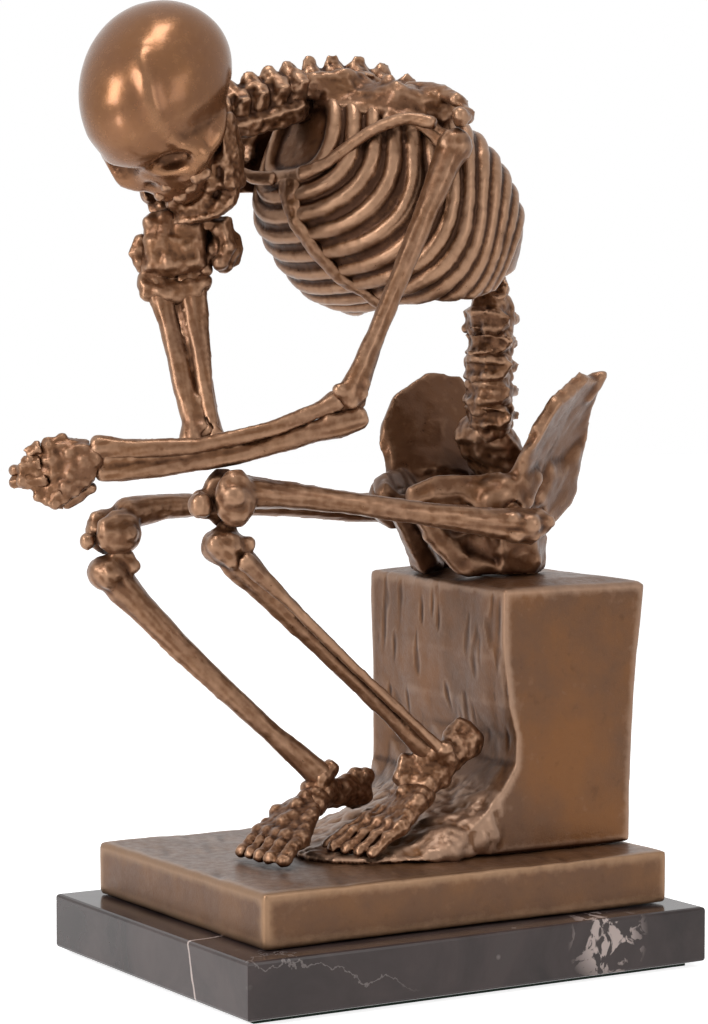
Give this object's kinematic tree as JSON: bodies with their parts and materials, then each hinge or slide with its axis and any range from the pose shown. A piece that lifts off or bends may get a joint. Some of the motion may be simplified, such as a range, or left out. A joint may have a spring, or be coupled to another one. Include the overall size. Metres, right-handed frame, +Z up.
{
  "type": "skeleton statue",
  "caption": "Patinated bronze statue of a seated skeleton leaning forward with its chin on one hand, on a block, a bronze plinth and a black marble slab.",
  "frame": {"origin": "middle of the felt's underside, which is also the middle of the marble slab seen from above", "axes": "+Z up; -Y the way the figure faces; +X the figure's left; the marble slab's length lies along Y"},
  "size_m": [0.115, 0.1861, 0.2729],
  "materials": {
    "bronze": "brown patinated cast bronze, rubbed brighter on the high places and waxed",
    "marble": "polished black marble with thin white veins",
    "steel": "plain zinc-plated steel",
    "felt": "thin dark green felt"
  },
  "bodies": {
    "root": {"felt_sheet": "felt", "marble_base": "marble", "bronze_plinth": "bronze", "fixing_stud_front": "steel", "fixing_stud_rear": "steel", "fixing_washer_front": "steel", "fixing_washer_rear": "steel", "fixing_nut_front": "steel", "fixing_nut_rear": "steel", "seat_block": "bronze", "left_femur": "bronze", "left_patella": "bronze", "left_tibia": "bronze", "left_fibula": "bronze", "left_hindfoot": "bronze", "left_forefoot": "bronze", "right_femur": "bronze", "right_patella": "bronze", "right_tibia": "bronze", "right_fibula": "bronze", "right_hindfoot": "bronze", "right_forefoot": "bronze", "sacrum": "bronze", "left_hip_bone": "bronze", "right_hip_bone": "bronze", "lumbar_vertebra_1": "bronze", "lumbar_vertebra_2": "bronze", "lumbar_vertebra_3": "bronze", "lumbar_vertebra_4": "bronze", "lumbar_vertebra_5": "bronze", "thoracic_spine": "bronze", "cervical_spine": "bronze", "ribcage": "bronze", "sternum": "bronze", "left_clavicle": "bronze", "left_scapula": "bronze", "left_humerus": "bronze", "left_ulna": "bronze", "left_radius": "bronze", "left_palm": "bronze", "left_thumb": "bronze", "left_little_finger": "bronze", "left_ring_finger": "bronze", "left_middle_finger": "bronze", "left_index_finger": "bronze", "right_clavicle": "bronze", "right_scapula": "bronze", "right_humerus": "bronze", "right_ulna": "bronze", "right_radius": "bronze", "right_palm": "bronze", "right_thumb": "bronze", "right_fingers": "bronze", "skull": "bronze", "mandible": "bronze"}
  },
  "joints": []
}
